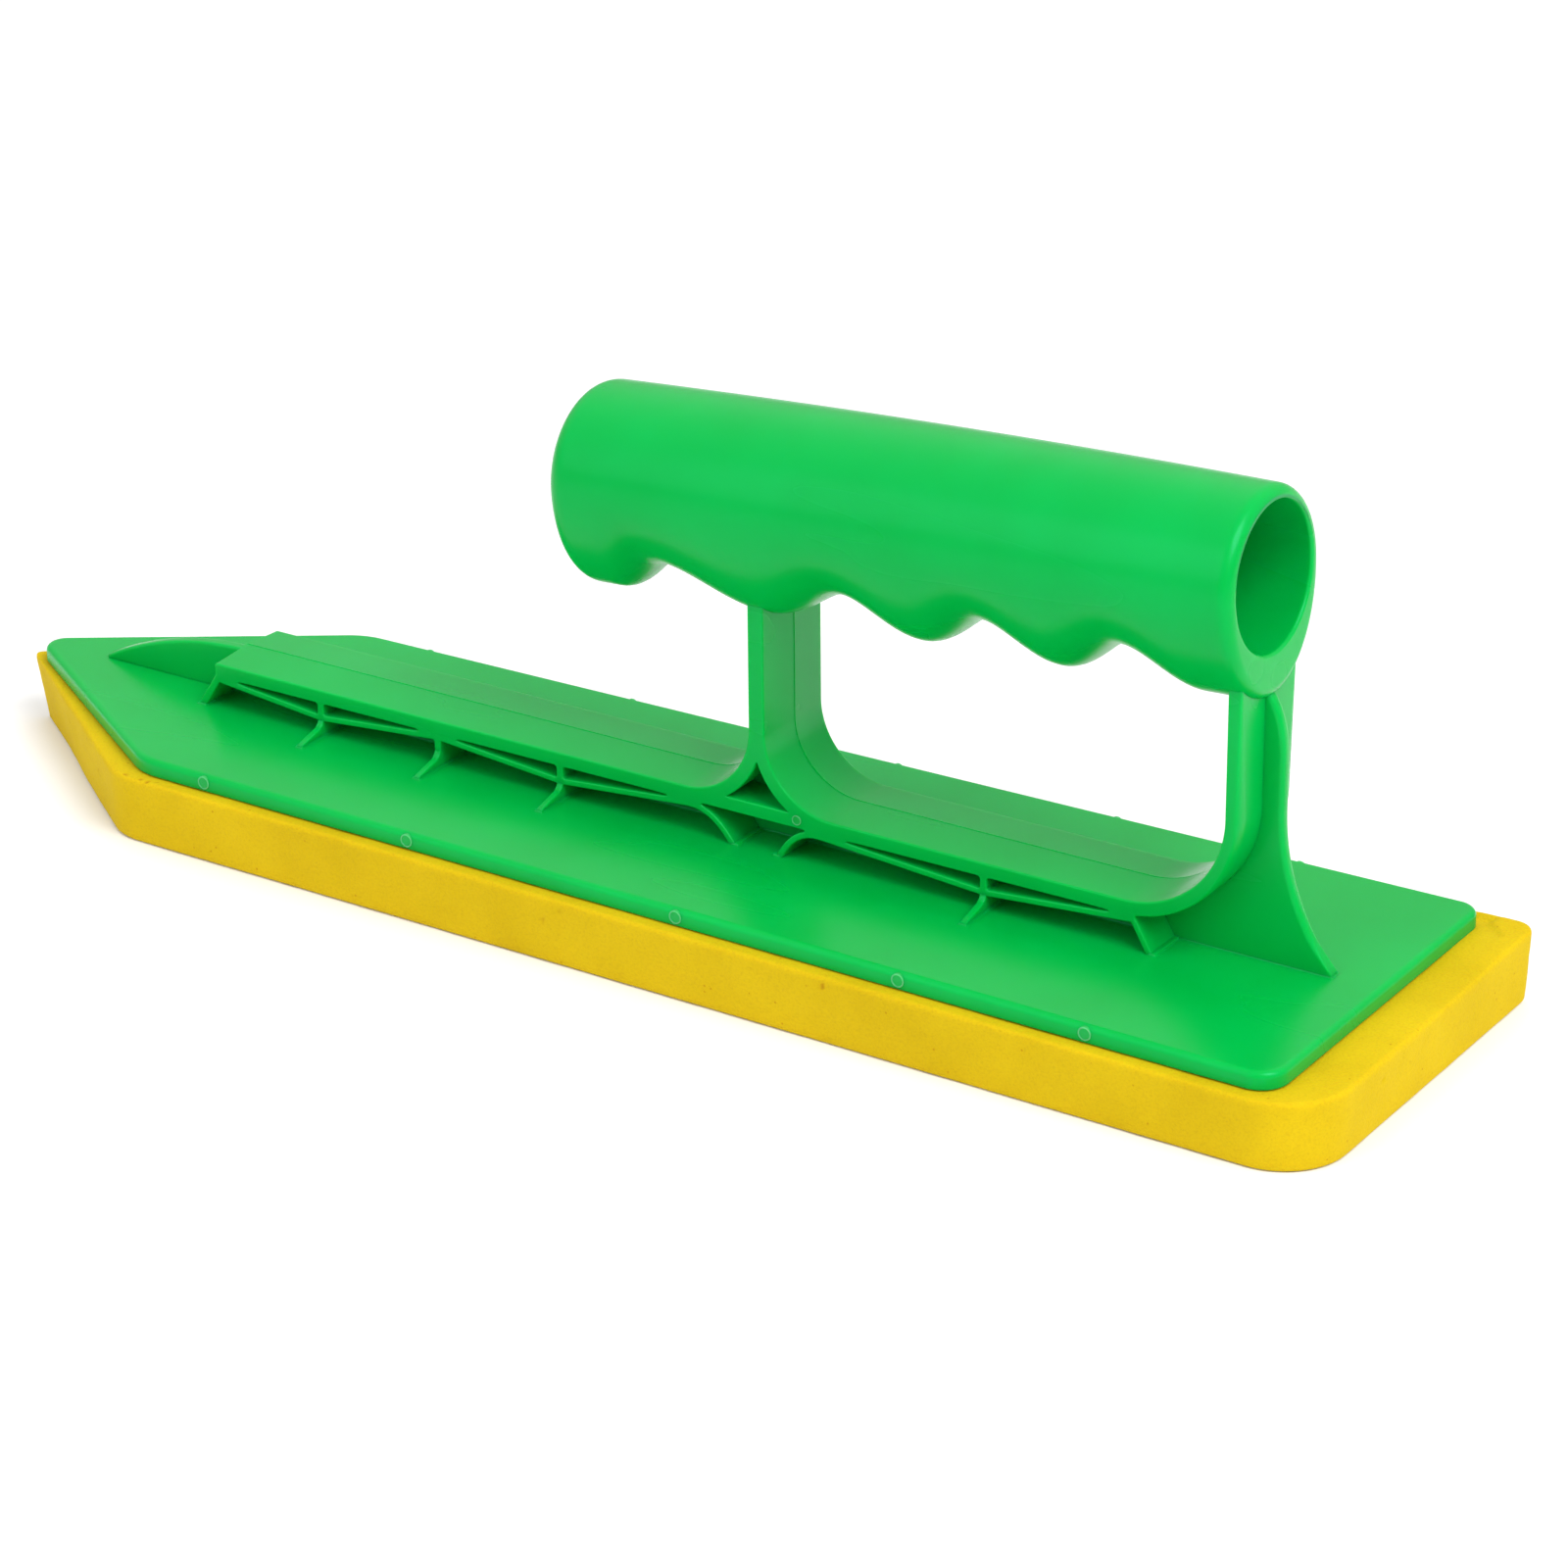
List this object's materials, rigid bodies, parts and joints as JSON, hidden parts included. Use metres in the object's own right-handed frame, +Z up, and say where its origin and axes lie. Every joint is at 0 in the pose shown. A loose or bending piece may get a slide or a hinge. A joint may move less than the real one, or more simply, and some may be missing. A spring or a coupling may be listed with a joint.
{
  "type": "grout float",
  "caption": "Pointed grout float: ribbed plastic plate with a finger-grip handle on two posts and a glued foam sole.",
  "frame": {"origin": "middle of the box round the float, on the ground under the foam sole", "axes": "+X from the pointed nose towards the open end of the handle, +Z up, the handle above the sole"},
  "size_m": [0.281, 0.077, 0.0943],
  "materials": {
    "green_plastic": "satin",
    "yellow_foam": "matte",
    "adhesive": "matte"
  },
  "bodies": {
    "root": {"foam_sole": "yellow_foam", "adhesive_film": "adhesive", "base_plate": "green_plastic", "rail_strip": "green_plastic", "rail_end_wall": "green_plastic", "nose_fin": "green_plastic", "keel_web": "green_plastic", "rear_gusset": "green_plastic", "cross_rib_1": "green_plastic", "cross_rib_2": "green_plastic", "cross_rib_3": "green_plastic", "cross_rib_4": "green_plastic", "front_truss": "green_plastic", "rear_truss": "green_plastic", "middle_post": "green_plastic", "rear_post": "green_plastic", "handle_grip": "green_plastic"}
  },
  "joints": []
}
